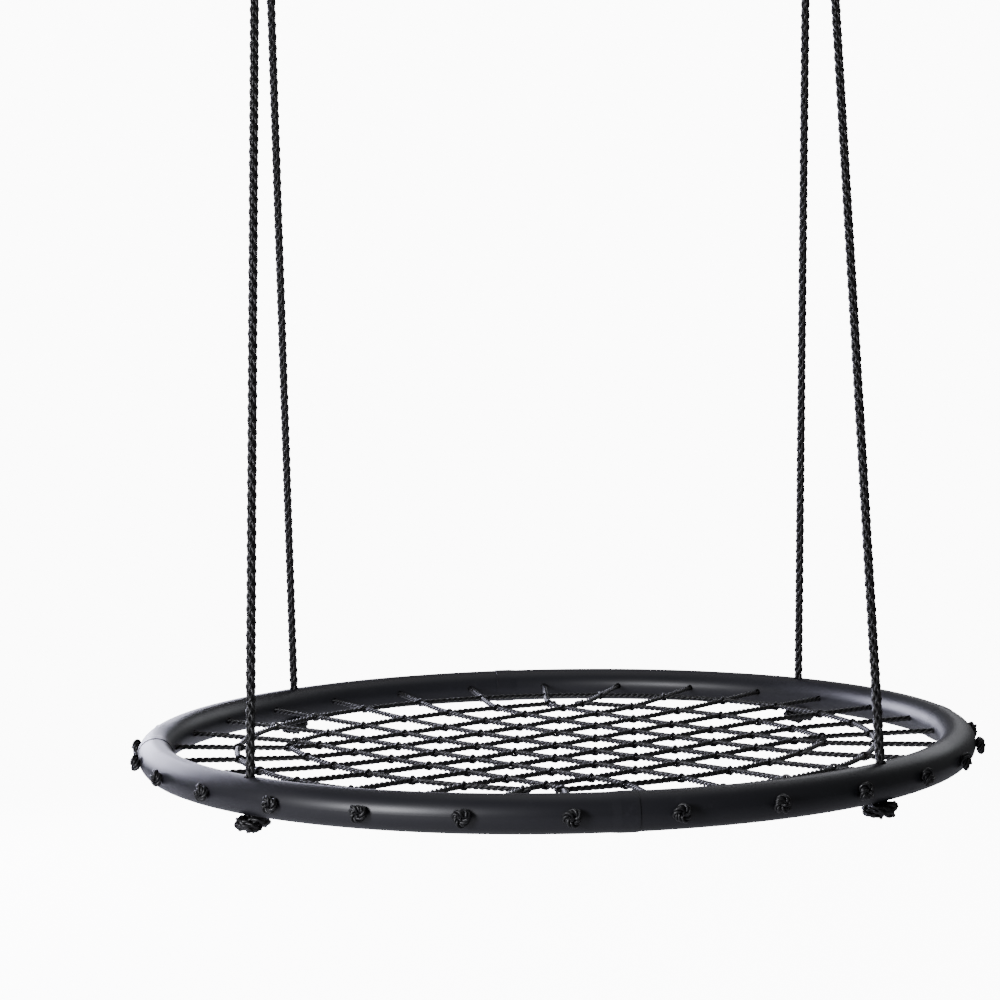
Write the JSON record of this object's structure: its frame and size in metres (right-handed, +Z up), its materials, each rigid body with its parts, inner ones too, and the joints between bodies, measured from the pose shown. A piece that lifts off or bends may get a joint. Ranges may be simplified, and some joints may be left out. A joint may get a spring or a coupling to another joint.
{
  "type": "saucer nest swing",
  "caption": "Round swing seat: a sleeved steel hoop with a knotted rope net, hung on four ropes from two steel rings.",
  "frame": {"origin": "midway between the two steel rings, at the height where a hook bears inside them", "axes": "+Z up, +X to the swing's right through both steel rings, -Y to the front"},
  "size_m": [1.0268, 1.0268, 1.4635],
  "materials": {
    "hoop_sleeve": "satin charcoal",
    "hoop_steel": "zinc plated",
    "joiner_steel": "plain drawn",
    "net_rope": "twisted black rope",
    "hanging_rope": "plaited black rope",
    "ring_steel": "bright zinc plated"
  },
  "bodies": {
    "hang_rings": {"hang_ring_left": "ring_steel", "hang_ring_right": "ring_steel"},
    "rope_eyes": {"top_eye_back_left": "hanging_rope", "top_eye_back_right": "hanging_rope", "top_eye_front_left": "hanging_rope", "top_eye_front_right": "hanging_rope"},
    "left_ropes": {"hang_rope_front_left": "hanging_rope", "hang_rope_back_left": "hanging_rope"},
    "right_ropes": {"hang_rope_front_right": "hanging_rope", "hang_rope_back_right": "hanging_rope"},
    "seat": {"frame_tube_left": "hoop_steel", "frame_tube_right": "hoop_steel", "hoop_knot_back_left": "hanging_rope", "hoop_knot_back_right": "hanging_rope", "hoop_knot_front_left": "hanging_rope", "hoop_knot_front_right": "hanging_rope", "joiner_pins": "joiner_steel", "net_border_rope": "net_rope", "net_edge_back_left": "net_rope", "net_edge_back_right": "net_rope", "net_edge_front_left": "net_rope", "net_edge_front_right": "net_rope", "net_rope_a1": "net_rope", "net_rope_a2": "net_rope", "net_rope_a3": "net_rope", "net_rope_a4": "net_rope", "net_rope_a5": "net_rope", "net_rope_a6": "net_rope", "net_rope_a7": "net_rope", "net_rope_b1": "net_rope", "net_rope_b2": "net_rope", "net_rope_b3": "net_rope", "net_rope_b4": "net_rope", "net_rope_b5": "net_rope", "net_rope_b6": "net_rope", "net_rope_b7": "net_rope", "sleeve_back_left": "hoop_sleeve", "sleeve_back_right": "hoop_sleeve", "sleeve_front_left": "hoop_sleeve", "sleeve_front_right": "hoop_sleeve", "tube_joiner_back": "joiner_steel", "tube_joiner_front": "joiner_steel"}
  },
  "joints": [
    {"name": "swing", "type": "hinge", "parent": "hang_rings", "child": "rope_eyes", "pos_m": [0, 0, -0.03], "axis": [1, 0, 0], "range_deg": [-45, 45]},
    {"name": "left_sway", "type": "hinge", "parent": "rope_eyes", "child": "left_ropes", "pos_m": [-0.32564, 0, -0.12509], "axis": [0, 1, 0], "range_deg": [-12, 12]},
    {"name": "right_sway", "type": "hinge", "parent": "rope_eyes", "child": "right_ropes", "pos_m": [0.32564, 0, -0.12509], "axis": [0, 1, 0], "range_deg": [-12, 12]},
    {"name": "seat_level", "type": "hinge", "parent": "left_ropes", "child": "seat", "pos_m": [-0.3387, 0, -1.389], "axis": [0, 1, 0], "range_deg": [-12, 12]}
  ],
  "couplings": [
    {"joint": "right_sway", "follows": "left_sway", "ratio": 1},
    {"joint": "seat_level", "follows": "left_sway", "ratio": -0.961}
  ]
}
